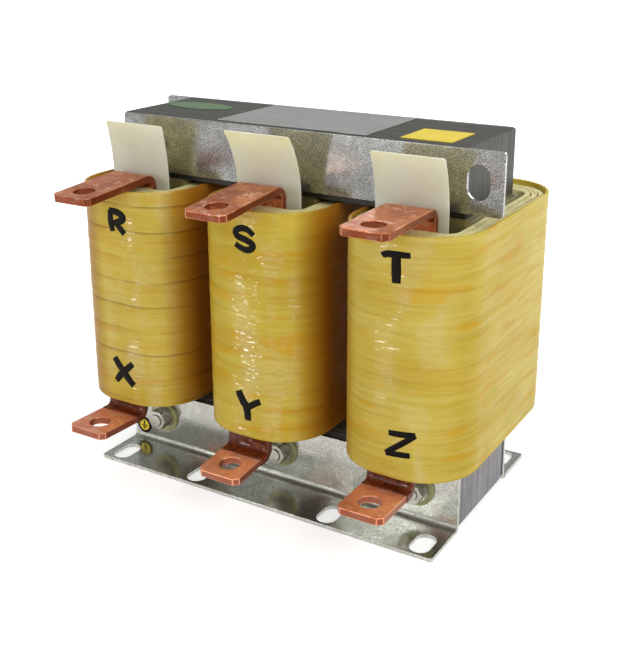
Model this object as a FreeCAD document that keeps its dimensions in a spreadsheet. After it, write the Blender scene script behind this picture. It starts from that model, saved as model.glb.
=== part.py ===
import FreeCAD, Part
import math
import os
import re

import Sketcher

# Three-phase harmonic filter reactor: three foil coils on a gapped laminated core.
# +X runs from phase R to phase T, -Y is the terminal side, +Z is up, in millimetres.
# Pieces are drawn about the middle of the core; every placement then moves them back along +Y,
# so that the origin lies under the middle of the whole reactor, on the mounting plane.

SIZES = {
    # Laminated core
    "core_depth": (70, "stack depth of yokes and limbs, along Y"),
    "core_lift": (2.5, "underside of the lower yoke above the mounting plane"),
    "yoke_height": (40.5, "height of each yoke"),
    "lower_yoke_overhang": (3, "end of the lower yoke beyond the outer limbs"),
    "limb_height": (152, "clear height between the yokes"),
    "limb_width": (46, "width of each limb block"),
    "gap_height": (3, "thickness of each air-gap pad"),
    "coil_gap": (16, "room between the shells of two neighbouring phases"),
    "sleeve_hole": (12.4, "bore through the yokes for the insulating sleeves"),
    # Clamping angles and plates
    "sheet_gauge": (2.5, "galvanised sheet thickness"),
    "strip_gauge": (1, "insulation between core and clamping sheet"),
    "strip_inset": (0.5, "step between the yoke's faces and the insulation's edges"),
    "angle_overhang": (1, "end of the lower angles beyond the lower yoke"),
    "angle_drop": (2, "upper edge of the lower angles below the yoke's top"),
    "foot_width": (36, "foot of the angle, from its upright face to its edge"),
    "bend_inner": (3, "inside bend radius of the angles"),
    "foot_corner": (2, "rounding of the sheet corners"),
    "foot_slot_width": (13, "width of the mounting slots"),
    "foot_slot_length": (21, "length of the mounting slots"),
    "foot_slot_edge": (12.5, "slot centre from the foot's edge"),
    "foot_slot_near": (50, "inner slots from the middle"),
    "foot_slot_end": (11.5, "outer slots from the angle's end"),
    "plate_rise": (4, "underside of the upper plates above the limbs' top"),
    "plate_long_overhang": (22.5, "long end of an upper plate beyond the yoke"),
    "plate_short_inset": (1, "short end of an upper plate inside the yoke's end"),
    "plate_slot_end": (14.8, "upright slot from the plate's long end"),
    "plate_slot_width": (13.5, "width of the upright slot"),
    "plate_slot_length": (20, "length of the upright slot"),
    # Clamping bolts
    "bolt_diameter": (8, "through bolts"),
    "clearance_hole": (9, "holes in the clamping sheet"),
    "lower_bolt_rise": (21, "lower bolts above the yoke's underside"),
    "upper_bolt_rise": (22, "upper bolts above the limbs' top"),
    "hex_across": (13, "nut and head across flats"),
    "nut_height": (6.5, "height of a nut"),
    "head_height": (5.3, "height of a bolt head"),
    "bolt_tail": (1, "bolt end beyond the nut"),
    "thread_gap": (0.1, "play between bolt and nut"),
    "washer_play": (0.2, "play between bolt and washers, sleeves"),
    "flat_washer_diameter": (16, "flat washers"),
    "flat_washer_gauge": (1.6, "flat washer thickness"),
    "insulating_washer_diameter": (22.5, "insulating washers"),
    "insulating_washer_gauge": (1.5, "insulating washer thickness"),
    "sleeve_diameter": (12, "insulating sleeves round the bolts"),
    # Coils
    "former_play": (1, "room between limb and former"),
    "former_gauge": (1.5, "wall of the former"),
    "former_corner": (3, "outer corner radius of the former"),
    "former_top_gap": (0.5, "room between former and upper yoke"),
    "winding_play": (0.5, "room between former and winding at the sides"),
    "front_duct": (20, "duct between former and winding, front and back"),
    "winding_corner": (8, "corner radius of the innermost turn"),
    "winding_side_build": (12.7, "winding thickness at the sides"),
    "winding_front_build": (14.8, "winding thickness, front and back"),
    "winding_corner_growth": (19.7, "growth of the corner radius through the winding"),
    "paper_inset": (1.5, "paper edges inside the shell's edges"),
    "foil_inset": (4, "foil edge below the paper edge"),
    "layer_gap": (0.3, "room between neighbouring layers"),
    "foil_layer": (0.10, "share of the winding build in one foil layer"),
    "bar_cover": (1.2, "packing between a lower bar and the shell"),
    "shell_corner_growth": (6.3, "growth of the corner radius from winding to shell"),
    "shell_gauge": (2, "thickness of the tape shell"),
    "shell_rise": (7.5, "underside of the shell above the lower yoke"),
    "shell_top_gap": (0.5, "top of the shell below the upper yoke"),
    "packing_side_inset": (8, "sides of the end packing inside the shell's sides"),
    "packing_top_inset": (3, "top of the end packing below the paper's top"),
    # Duct sticks
    "stick_flange": (8, "flange width of a duct stick"),
    "stick_gauge": (2, "flange and web thickness of a duct stick"),
    "stick_bottom_inset": (2, "underside of the duct sticks above the paper's"),
    "stick_top_inset": (13, "top of the duct sticks below the paper's"),
    # Terminal bars
    "bar_width": (29, "width of the copper bars"),
    "bar_gauge": (4.5, "thickness of the copper bars"),
    "bar_bend": (5.75, "bend radius at the middle of the bar"),
    "bar_hole": (13.5, "terminal hole"),
    "bar_chamfer": (3, "chamfer of the tongue's corners"),
    "bar_play": (0.3, "room between a lower bar and the end packing"),
    "upper_bar_inset": (6, "lower end of the upper bars above the paper's underside"),
    "upper_hole_edge": (13.5, "hole centre from the upper tongues' end"),
    "lower_bar_inset": (13, "upper end of the lower bars below the paper's top"),
    "lower_hole_edge": (14, "hole centre from the lower tongues' end"),
    "tongue_reach_r": (116.5, "front end of the tongue from the core's middle"),
    "tongue_reach_s": (116, "front end of the tongue from the core's middle"),
    "tongue_reach_t": (114.5, "front end of the tongue from the core's middle"),
    "tongue_reach_x": (117, "front end of the tongue from the core's middle"),
    "tongue_reach_y": (110.7, "front end of the tongue from the core's middle"),
    "tongue_reach_z": (114.5, "front end of the tongue from the core's middle"),
    "bend_offset_r": (4.5, "bend of the bar's middle line above the limbs' top"),
    "bend_offset_s": (8.9, "bend of the bar's middle line above the limbs' top"),
    "bend_offset_t": (8.1, "bend of the bar's middle line above the limbs' top"),
    "bend_offset_x": (0.6, "bend of the bar's middle line below the lower yoke's top"),
    "bend_offset_y": (3.3, "bend of the bar's middle line below the lower yoke's top"),
    "bend_offset_z": (0.8, "bend of the bar's middle line below the lower yoke's top"),
    "tongue_tilt_r": (-4, "rise of the tongue towards its end, in degrees"),
    "tongue_tilt_s": (-5.1, "rise of the tongue towards its end, in degrees"),
    "tongue_tilt_t": (-0.8, "rise of the tongue towards its end, in degrees"),
    "tongue_tilt_x": (2, "rise of the tongue towards its end, in degrees"),
    "tongue_tilt_y": (-5, "rise of the tongue towards its end, in degrees"),
    "tongue_tilt_z": (0.6, "rise of the tongue towards its end, in degrees"),
    # Insulating flags behind the upper bars
    "flag_width": (45, "width of a flag"),
    "flag_gauge": (0.6, "thickness of a flag"),
    "flag_depth": (45, "lower edge of the flags below the limbs' top"),
    "flag_curl_room": (1, "straight part of the flag above the start of the bar's bend"),
    "flag_rise_r": (38, "upper edge of the flag above the limbs' top"),
    "flag_rise_s": (42, "upper edge of the flag above the limbs' top"),
    "flag_rise_t": (38.5, "upper edge of the flag above the limbs' top"),
    "flag_shift_r": (2, "middle of the flag from the middle of its coil"),
    "flag_shift_s": (2, "middle of the flag from the middle of its coil"),
    "flag_shift_t": (-2, "middle of the flag from the middle of its coil"),
    "flag_corner": (1.5, "rounding of the flags' upper corners"),
    "flag_curl_r": (5, "forward curl of the flag at its top"),
    "flag_curl_s": (13.5, "forward curl of the flag at its top"),
    "flag_curl_t": (7.5, "forward curl of the flag at its top"),
    # Plates and stickers
    "plate_sign_length": (105, "blank rating plate, along X"),
    "plate_sign_margin": (2, "rating plate inside the yoke's faces"),
    "plate_sign_shift": (4, "middle of the rating plate from the middle phase"),
    "plate_sign_gauge": (0.8, "rating plate thickness"),
    "oval_end": (28.3, "middle of the oval label from the yoke's end"),
    "oval_back": (7, "middle of the oval label along Y"),
    "oval_half_length": (25.5, "oval label, half its length"),
    "oval_half_depth": (11.6, "oval label, half its depth"),
    "square_end": (29, "middle of the square label from the yoke's end"),
    "square_forward": (12, "middle of the square label from the core's middle, forward"),
    "square_side": (32, "side of the square label"),
    "label_gauge": (0.4, "thickness of the labels"),
    "earth_disc_diameter": (12, "disc label by the earthing point"),
    "earth_disc_end": (8, "middle of the disc label from the angle's end"),
    "earth_disc_rise": (0.3, "disc label above the bend of the angle"),
}

# Places that follow from the sizes, as formulas of their names
LOWER_YOKE_TOP = "(core_lift + yoke_height)"
LIMB_TOP = f"({LOWER_YOKE_TOP} + limb_height)"
UPPER_YOKE_TOP = f"({LIMB_TOP} + yoke_height)"
BLOCK_HEIGHT = "((limb_height - 3 * gap_height) / 2)"
SHEET_INNER = "(core_depth / 2 + strip_gauge)"
SHEET_OUTER = f"({SHEET_INNER} + sheet_gauge)"
FOOT_EDGE = f"({SHEET_OUTER} + foot_width)"
LOWER_BOLT_HEIGHT = "(core_lift + lower_bolt_rise)"
UPPER_BOLT_HEIGHT = f"({LIMB_TOP} + upper_bolt_rise)"
FLAT_WASHER_SEAT = f"({SHEET_OUTER} + insulating_washer_gauge)"
NUT_SEAT = f"({FLAT_WASHER_SEAT} + flat_washer_gauge)"
BOLT_END = f"({NUT_SEAT} + nut_height + bolt_tail)"
FORMER_X = "(limb_width / 2 + former_play + former_gauge)"
FORMER_Y = "(core_depth / 2 + former_play + former_gauge)"
FORMER_TOP = f"({LIMB_TOP} - former_top_gap)"
TURN_X = f"({FORMER_X} + winding_play)"
TURN_Y = f"({FORMER_Y} + front_duct)"
COIL_X = f"({TURN_X} + winding_side_build)"
COIL_Y = f"({TURN_Y} + winding_front_build)"
COIL_CORNER = "(winding_corner + winding_corner_growth)"
SHELL_X = f"({COIL_X} + layer_gap + shell_gauge)"
COIL_PITCH = f"(2 * {SHELL_X} + coil_gap)"
UPPER_YOKE_END = f"({COIL_PITCH} + limb_width / 2)"
LOWER_YOKE_END = f"({UPPER_YOKE_END} + lower_yoke_overhang)"
ANGLE_END = f"({LOWER_YOKE_END} + angle_overhang)"
PLATE_LONG_END = f"({UPPER_YOKE_END} + plate_long_overhang)"
SHELL_Y = f"({COIL_Y} + bar_gauge + bar_cover + shell_gauge)"
SHELL_CORNER = f"({COIL_CORNER} + shell_corner_growth)"
SHELL_BOTTOM = f"({LOWER_YOKE_TOP} + shell_rise)"
SHELL_TOP = f"({LIMB_TOP} - shell_top_gap)"
PAPER_BOTTOM = f"({SHELL_BOTTOM} + paper_inset)"
PAPER_TOP = f"({SHELL_TOP} - paper_inset)"
UPPER_BAR_END = f"({PAPER_BOTTOM} + upper_bar_inset)"
LOWER_BAR_END = f"({PAPER_TOP} - lower_bar_inset)"
UPPER_BAR_Y = f"({TURN_Y} - bar_gauge / 2)"
FLAG_Y = f"({TURN_Y} - bar_gauge)"
LOWER_BAR_Y = f"({COIL_Y} + bar_gauge / 2)"
STICK_PLACE = f"({TURN_X} - winding_corner - layer_gap - stick_flange / 2)"
REACHES = "; ".join(f"tongue_reach_{phase}" for phase in "rstxyz")
BACK_REACH = f"max({SHELL_Y}; {FOOT_EDGE})"
TO_ORIGIN = f"((max({REACHES}) - {BACK_REACH}) / 2)"

COILS = {"r": f"(0 - {COIL_PITCH})", "s": "0", "t": COIL_PITCH}
LOWER_LETTER = {"r": "x", "s": "y", "t": "z"}
FRONT = "-1"
BACK = "1"

doc = FreeCAD.newDocument("HarmonicFilterReactor")
sheet = doc.addObject("Spreadsheet::Sheet", "Sizes")
for row, (alias, (size, meaning)) in enumerate(SIZES.items(), start=1):
    sheet.set(f"A{row}", meaning)
    sheet.set(f"B{row}", str(size))
    sheet.setAlias(f"B{row}", alias)
doc.recompute()

pieces = []


def bound(formula):
    """Turn a formula of size names into an expression on the sheet."""
    return re.sub(r"\b[a-z]+_\w+\b", lambda name: f"Sizes.{name.group()}", str(formula))


def number(formula):
    """Today's value of a formula."""
    result = sheet.evalExpression(bound(formula))
    return float(getattr(result, "Value", result))


def bind(item, prop, formula):
    item.setExpression(prop, bound(formula))


# Sketching


def sketch_in(body, role, along_normal="0"):
    """A sketch on one of the body's own origin planes, shifted along the plane's normal."""
    plane = next(item for item in body.Origin.OriginFeatures if item.Role == role)
    sketch = body.newObject("Sketcher::SketchObject", "Outline")
    sketch.AttachmentSupport = [(plane, "")]
    sketch.MapMode = "FlatFace"
    bind(sketch, ".AttachmentOffset.Base.z", along_normal)
    return sketch


def hold(sketch, geometry, point, across, up):
    """Bind one point of the sketch to its two distances from the sketch's origin."""
    for kind, formula in (("DistanceX", across), ("DistanceY", up)):
        rule = Sketcher.Constraint(kind, -1, 1, geometry, point, number(formula))
        bind(sketch, f"Constraints[{sketch.addConstraint(rule)}]", formula)


def hold_radius(sketch, geometry, formula):
    rule = Sketcher.Constraint("Radius", geometry, number(formula))
    bind(sketch, f"Constraints[{sketch.addConstraint(rule)}]", formula)


def spot(across, up):
    return FreeCAD.Vector(number(across), number(up), 0)


def draw_polygon(sketch, corners):
    first = sketch.GeometryCount
    spots = [spot(across, up) for across, up in corners]
    for place, start in enumerate(spots):
        sketch.addGeometry(Part.LineSegment(start, spots[(place + 1) % len(spots)]))
    for place in range(len(spots)):
        follower = first + (place + 1) % len(spots)
        sketch.addConstraint(Sketcher.Constraint("Coincident", first + place, 2, follower, 1))
    for place, (across, up) in enumerate(corners):
        hold(sketch, first + place, 1, across, up)


def draw_rectangle(sketch, left, right, bottom, top):
    draw_polygon(sketch, [(left, bottom), (right, bottom), (right, top), (left, top)])


def draw_circle(sketch, across, up, radius):
    circle = Part.Circle(spot(across, up), FreeCAD.Vector(0, 0, 1), number(radius))
    geometry = sketch.addGeometry(circle)
    hold(sketch, geometry, 3, across, up)
    hold_radius(sketch, geometry, radius)


def draw_arc(sketch, across, up, radius, start_degrees, end_degrees):
    circle = Part.Circle(spot(across, up), FreeCAD.Vector(0, 0, 1), number(radius))
    start = math.radians(start_degrees)
    return sketch.addGeometry(Part.ArcOfCircle(circle, start, math.radians(end_degrees)))


def draw_rounded(sketch, half_width, half_depth, radius):
    """A rectangle about the sketch's origin with four round corners."""
    side_x = f"({half_width} - {radius})"
    side_y = f"({half_depth} - {radius})"
    quarters = [(side_x, side_y, 0), (f"(0 - {side_x})", side_y, 90)]
    quarters += [(f"(0 - {side_x})", f"(0 - {side_y})", 180), (side_x, f"(0 - {side_y})", 270)]
    arcs = [draw_arc(sketch, x, y, radius, turn, turn + 90) for x, y, turn in quarters]
    for place, arc in enumerate(arcs):
        follower = arcs[(place + 1) % 4]
        start = sketch.getPoint(arc, 2)
        line = sketch.addGeometry(Part.LineSegment(start, sketch.getPoint(follower, 1)))
        sketch.addConstraint(Sketcher.Constraint("Tangent", arc, 2, line, 1))
        sketch.addConstraint(Sketcher.Constraint("Tangent", line, 2, follower, 1))
    for arc, (x, y, turn) in zip(arcs, quarters):
        hold(sketch, arc, 3, x, y)
        hold_radius(sketch, arc, radius)


def draw_slot(sketch, across, up, width, length):
    """A slot with round ends, running up the sketch."""
    reach = f"({length} - {width}) / 2"
    top = draw_arc(sketch, across, f"{up} + {reach}", f"{width} / 2", 0, 180)
    bottom = draw_arc(sketch, across, f"{up} - {reach}", f"{width} / 2", 180, 360)
    for upper_end, lower_end in ((2, 1), (1, 2)):
        start = sketch.getPoint(top, upper_end)
        line = sketch.addGeometry(Part.LineSegment(start, sketch.getPoint(bottom, lower_end)))
        sketch.addConstraint(Sketcher.Constraint("Tangent", top, upper_end, line, 1))
        sketch.addConstraint(Sketcher.Constraint("Tangent", line, 2, bottom, lower_end))
    hold(sketch, top, 3, across, f"{up} + {reach}")
    hold(sketch, bottom, 3, across, f"{up} - {reach}")
    hold_radius(sketch, top, f"{width} / 2")
    hold_radius(sketch, bottom, f"{width} / 2")


# Features


def new_body(label, x="0"):
    """A body whose drawing stands about the core's middle, or about a coil's middle."""
    body = doc.addObject("PartDesign::Body", label)
    body.Label = label
    body.AllowCompound = True
    bind(body, ".Placement.Base.x", x)
    bind(body, ".Placement.Base.y", TO_ORIGIN)
    pieces.append(body)
    return body


def pad(body, sketch, length, both_ways=False):
    feature = body.newObject("PartDesign::Pad", "Pad")
    feature.Profile = sketch
    feature.SideType = "Symmetric" if both_ways else "One side"
    bind(feature, "Length", length)
    return feature


def cut(body, sketch, length=None):
    """Cut the sketch out of the body, to a length about its plane or right through."""
    feature = body.newObject("PartDesign::Pocket", "Cut")
    feature.Profile = sketch
    feature.SideType = "Symmetric"
    feature.Type = "Length" if length else "ThroughAll"
    if length:
        bind(feature, "Length", length)
    return feature


def round_edges(body, base, chosen, radius):
    """Round the straight edges of the base feature that the test picks."""
    doc.recompute()
    names = [f"Edge{place}" for place, edge in enumerate(base.Shape.Edges, start=1)
             if edge.Curve.TypeId == "Part::GeomLine" and chosen(edge)]
    feature = body.newObject("PartDesign::Fillet", "Round")
    feature.Base = (base, names)
    bind(feature, "Radius", radius)
    return feature


def runs_along(edge, axis):
    return abs(edge.tangentAt(edge.FirstParameter)[axis]) > 0.999


def near(number_a, number_b):
    return abs(number_a - number_b) < 1e-4


def signed(side, formula):
    """A distance forward (side -1) or back (side 1) from the core's middle plane."""
    return f"({side} * {formula})"


# Core


def make_yoke(label, end, bottom, bolt_height):
    body = new_body(label)
    face = sketch_in(body, "XZ_Plane")
    draw_rectangle(face, f"0 - {end}", end, bottom, f"{bottom} + yoke_height")
    for x in COILS.values():
        draw_circle(face, x, bolt_height, "sleeve_hole / 2")
    pad(body, face, "core_depth", both_ways=True)


def pad_block(body, x, bottom, height):
    """A block of the limb's section at the given height."""
    outline = sketch_in(body, "XY_Plane", bottom)
    draw_rectangle(outline, f"{x} - limb_width / 2", f"{x} + limb_width / 2",
                   "0 - core_depth / 2", "core_depth / 2")
    pad(body, outline, height)


def make_limb(phase, x):
    body = new_body(f"leg_blocks_{phase}", x)
    for step in range(2):
        rise = f"{LOWER_YOKE_TOP} + gap_height + {step} * ({BLOCK_HEIGHT} + gap_height)"
        pad_block(body, "0", rise, BLOCK_HEIGHT)


def make_gap_pads():
    body = new_body("gap_pads")
    for x in COILS.values():
        for step in range(3):
            rise = f"{LOWER_YOKE_TOP} + {step} * ({BLOCK_HEIGHT} + gap_height)"
            pad_block(body, x, rise, "gap_height")


# Clamping angles, plates and their insulation


def draw_bolt_row(sketch, height, diameter):
    for x in COILS.values():
        draw_circle(sketch, x, height, f"{diameter} / 2")


def make_lower_angle(label, side):
    """An angle bent outwards to a foot, with four mounting slots across it."""
    body = new_body(label)
    profile = sketch_in(body, "YZ_Plane")
    inner = signed(side, SHEET_INNER)
    outer = signed(side, SHEET_OUTER)
    edge = signed(side, FOOT_EDGE)
    top = f"{LOWER_YOKE_TOP} - angle_drop"
    draw_polygon(profile, [(inner, top), (outer, top), (outer, "sheet_gauge"),
                           (edge, "sheet_gauge"), (edge, "0"), (inner, "0")])
    sheet_part = pad(body, profile, f"2 * {ANGLE_END}", both_ways=True)
    heel = number(inner)
    throat = number(outer)

    def is_heel(edge_line):
        middle = edge_line.CenterOfMass
        return runs_along(edge_line, 0) and near(middle.y, heel) and near(middle.z, 0)

    def is_throat(edge_line):
        middle = edge_line.CenterOfMass
        gauge = number("sheet_gauge")
        return runs_along(edge_line, 0) and near(middle.y, throat) and near(middle.z, gauge)

    bent = round_edges(body, sheet_part, is_heel, "sheet_gauge + bend_inner")
    bent = round_edges(body, bent, is_throat, "bend_inner")
    round_edges(body, bent, lambda line: runs_along(line, 2) and near(line.CenterOfMass.y, number(edge)),
                "foot_corner")
    slots = sketch_in(body, "XY_Plane")
    for x in ("foot_slot_near", f"({ANGLE_END} - foot_slot_end)"):
        for way in ("1", "-1"):
            middle = signed(side, f"({FOOT_EDGE} - foot_slot_edge)")
            draw_slot(slots, f"{way} * {x}", middle, "foot_slot_width", "foot_slot_length")
    cut(body, slots)
    holes = sketch_in(body, "XZ_Plane")
    draw_bolt_row(holes, LOWER_BOLT_HEIGHT, "clearance_hole")
    cut(body, holes)


def make_upper_plate(label, side):
    """A flat plate whose long end, with an upright slot, reaches past the core."""
    body = new_body(label)
    forward = f"0 - {side}"
    plane = SHEET_INNER if side == FRONT else f"(0 - {SHEET_OUTER})"
    outline = sketch_in(body, "XZ_Plane", plane)
    short_end = f"({UPPER_YOKE_END} - plate_short_inset)"
    ends = sorted([f"({forward}) * {PLATE_LONG_END}", f"({side}) * {short_end}"], key=number)
    bottom = f"({LIMB_TOP} + plate_rise)"
    draw_rectangle(outline, ends[0], ends[1], bottom, UPPER_YOKE_TOP)
    sheet_part = pad(body, outline, "sheet_gauge")
    round_edges(body, sheet_part, lambda line: runs_along(line, 1), "foot_corner")
    holes = sketch_in(body, "XZ_Plane")
    draw_bolt_row(holes, UPPER_BOLT_HEIGHT, "clearance_hole")
    draw_slot(holes, f"({forward}) * ({PLATE_LONG_END} - plate_slot_end)",
              f"({bottom} + {UPPER_YOKE_TOP}) / 2", "plate_slot_width", "plate_slot_length")
    cut(body, holes)


def make_strips(label, end, bottom, top, bolt_height):
    """Insulation in front of and behind a yoke."""
    body = new_body(label)
    for plane in ("core_depth / 2", "0 - core_depth / 2 - strip_gauge"):
        face = sketch_in(body, "XZ_Plane", plane)
        draw_rectangle(face, f"0 - {end}", end, bottom, top)
        draw_bolt_row(face, bolt_height, "sleeve_hole")
        pad(body, face, "strip_gauge")


# Clamping bolts: nuts on the front of the lower yoke and on the back of the upper one

BOLT_ROWS = ((LOWER_BOLT_HEIGHT, FRONT), (UPPER_BOLT_HEIGHT, BACK))


def plane_for(side, seat, thickness):
    """Where a sketch on the XZ plane starts a piece that stands outside a seat."""
    return seat if side == FRONT else f"(0 - {seat} - {thickness})"


def opposite(side):
    return BACK if side == FRONT else FRONT


def draw_hexagon(sketch, x, height):
    corners = []
    for turn in range(6):
        across = f"{x} + hex_across / sqrt(3) * cos({60 * turn} deg)"
        corners.append((across, f"{height} + hex_across / sqrt(3) * sin({60 * turn} deg)"))
    draw_polygon(sketch, corners)


def pad_rings(body, height, side, seat, thickness, outer, inner):
    outline = sketch_in(body, "XZ_Plane", plane_for(side, seat, thickness))
    for x in COILS.values():
        draw_circle(outline, x, height, f"({outer}) / 2")
        draw_circle(outline, x, height, f"({inner}) / 2")
    pad(body, outline, thickness)


def make_washers(label, seat, thickness, diameter):
    """Washers under every nut and every head."""
    body = new_body(label)
    for height, nut_side in BOLT_ROWS:
        for side in (FRONT, BACK):
            outline = sketch_in(body, "XZ_Plane", plane_for(side, seat, thickness))
            draw_bolt_row(outline, height, diameter)
            draw_bolt_row(outline, height, "(bolt_diameter + 2 * washer_play)")
            pad(body, outline, thickness)


def make_nuts():
    body = new_body("hex_nuts")
    for height, nut_side in BOLT_ROWS:
        outline = sketch_in(body, "XZ_Plane", plane_for(nut_side, NUT_SEAT, "nut_height"))
        for x in COILS.values():
            draw_hexagon(outline, x, height)
        draw_bolt_row(outline, height, "(bolt_diameter + 2 * thread_gap)")
        pad(body, outline, "nut_height")


def make_bolts():
    body = new_body("through_bolts")
    for height, nut_side in BOLT_ROWS:
        heads = sketch_in(body, "XZ_Plane", plane_for(opposite(nut_side), NUT_SEAT, "head_height"))
        for x in COILS.values():
            draw_hexagon(heads, x, height)
        pad(body, heads, "head_height")
        start = f"(0 - {NUT_SEAT})" if nut_side == FRONT else f"(0 - {BOLT_END})"
        shanks = sketch_in(body, "XZ_Plane", start)
        draw_bolt_row(shanks, height, "bolt_diameter")
        pad(body, shanks, f"{NUT_SEAT} + {BOLT_END}")


def make_sleeves():
    body = new_body("bolt_sleeves")
    for height, nut_side in BOLT_ROWS:
        outline = sketch_in(body, "XZ_Plane")
        draw_bolt_row(outline, height, "sleeve_diameter")
        draw_bolt_row(outline, height, "(bolt_diameter + 2 * washer_play)")
        pad(body, outline, f"2 * {SHEET_INNER}", both_ways=True)


# Coils


def make_former(phase, x):
    body = new_body(f"former_{phase}", x)
    outline = sketch_in(body, "XY_Plane", LOWER_YOKE_TOP)
    draw_rounded(outline, FORMER_X, FORMER_Y, "former_corner")
    draw_rounded(outline, f"({FORMER_X} - former_gauge)", f"({FORMER_Y} - former_gauge)",
                 "(former_corner - former_gauge)")
    pad(body, outline, f"{FORMER_TOP} - {LOWER_YOKE_TOP}")


def draw_turn(sketch, share):
    """The winding's contour at a share of its build: a tight rectangle that grows to an oval."""
    draw_rounded(sketch, f"({TURN_X} + ({share}) * winding_side_build)",
                 f"({TURN_Y} + ({share}) * winding_front_build)",
                 f"(winding_corner + ({share}) * winding_corner_growth)")


# Paper and foil alternate from the innermost turn out; both foils have the same share of the build
PAPER_LAYER = "((1 - 2 * foil_layer) / 3)"
GAP_SHARE = "(layer_gap / winding_side_build)"
PAPER_BANDS = [(f"{step} * ({PAPER_LAYER} + foil_layer)",
                f"{step} * ({PAPER_LAYER} + foil_layer) + {PAPER_LAYER}") for step in range(3)]
FOIL_BANDS = [(f"{step + 1} * {PAPER_LAYER} + {step} * foil_layer + {GAP_SHARE}",
               f"{step + 1} * ({PAPER_LAYER} + foil_layer) - {GAP_SHARE}") for step in range(2)]


def make_layers(label, x, bands, inset):
    body = new_body(label, x)
    for inner, outer in bands:
        outline = sketch_in(body, "XY_Plane", f"{PAPER_BOTTOM} + {inset}")
        draw_turn(outline, inner)
        draw_turn(outline, outer)
        pad(body, outline, f"{PAPER_TOP} - {PAPER_BOTTOM} - 2 * {inset}")


def make_shell(phase, x):
    body = new_body(f"tape_shell_{phase}", x)
    outline = sketch_in(body, "XY_Plane", SHELL_BOTTOM)
    for depth in ("0", "shell_gauge"):
        draw_rounded(outline, f"({SHELL_X} - {depth})", f"({SHELL_Y} - {depth})",
                     f"({SHELL_CORNER} - {depth})")
    pad(body, outline, f"{SHELL_TOP} - {SHELL_BOTTOM}")


def make_packing(phase, x):
    """Crescents between winding and shell, front and back; the front one is slotted for the bar."""
    body = new_body(f"end_packing_{phase}", x)
    outline = sketch_in(body, "XY_Plane", PAPER_BOTTOM)
    play = "(shell_gauge + layer_gap)"
    draw_rounded(outline, f"({SHELL_X} - {play})", f"({SHELL_Y} - {play})",
                 f"({SHELL_CORNER} - {play})")
    pad(body, outline, f"{PAPER_TOP} - packing_top_inset - {PAPER_BOTTOM}")
    winding = sketch_in(body, "XY_Plane")
    draw_rounded(winding, f"({COIL_X} + layer_gap)", f"({COIL_Y} + layer_gap)",
                 f"({COIL_CORNER} + layer_gap)")
    cut(body, winding)
    sides = sketch_in(body, "XY_Plane")
    for way in ("-1", "1"):
        ends = sorted([f"{way} * ({SHELL_X} - packing_side_inset)", f"{way} * {SHELL_X}"], key=number)
        draw_rectangle(sides, ends[0], ends[1], f"0 - {SHELL_Y}", SHELL_Y)
    cut(body, sides)
    slot = sketch_in(body, "XZ_Plane", LOWER_BAR_Y)
    draw_rectangle(slot, "0 - bar_width / 2 - bar_play", "bar_width / 2 + bar_play",
                   f"{PAPER_BOTTOM} - bar_gauge", f"{LOWER_BAR_END} + bar_play")
    cut(body, slot, "2 * (bar_gauge + bar_cover + shell_gauge)")


def make_sticks(phase, x):
    """Flanged duct sticks between former and winding; the front ones stand behind the flag."""
    body = new_body(f"duct_sticks_{phase}", x)
    depths = ((f"(0 - {FLAG_Y} + flag_gauge)", f"(0 - {FORMER_Y})"), (FORMER_Y, TURN_Y))
    outline = sketch_in(body, "XY_Plane", f"{PAPER_BOTTOM} + stick_bottom_inset")
    for front, back in depths:
        for way in ("-1", "1"):
            middle = f"{way} * {STICK_PLACE}"
            left = f"{middle} - stick_flange / 2"
            right = f"{middle} + stick_flange / 2"
            web_left = f"{middle} - stick_gauge / 2"
            web_right = f"{middle} + stick_gauge / 2"
            web_front = f"{front} + stick_gauge"
            web_back = f"{back} - stick_gauge"
            draw_polygon(outline, [(left, front), (right, front), (right, web_front),
                                   (web_right, web_front), (web_right, web_back), (right, web_back),
                                   (right, back), (left, back), (left, web_back),
                                   (web_left, web_back), (web_left, web_front), (left, web_front)])
    pad(body, outline, f"{PAPER_TOP} - {PAPER_BOTTOM} - stick_top_inset - stick_bottom_inset")


# Terminals


def bend_height(letter):
    """Where the middle lines of a bar's upright leg and of its tongue meet."""
    if letter in COILS:
        return f"({LIMB_TOP} + bend_offset_{letter})"
    return f"({LOWER_YOKE_TOP} - bend_offset_{letter})"


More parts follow.
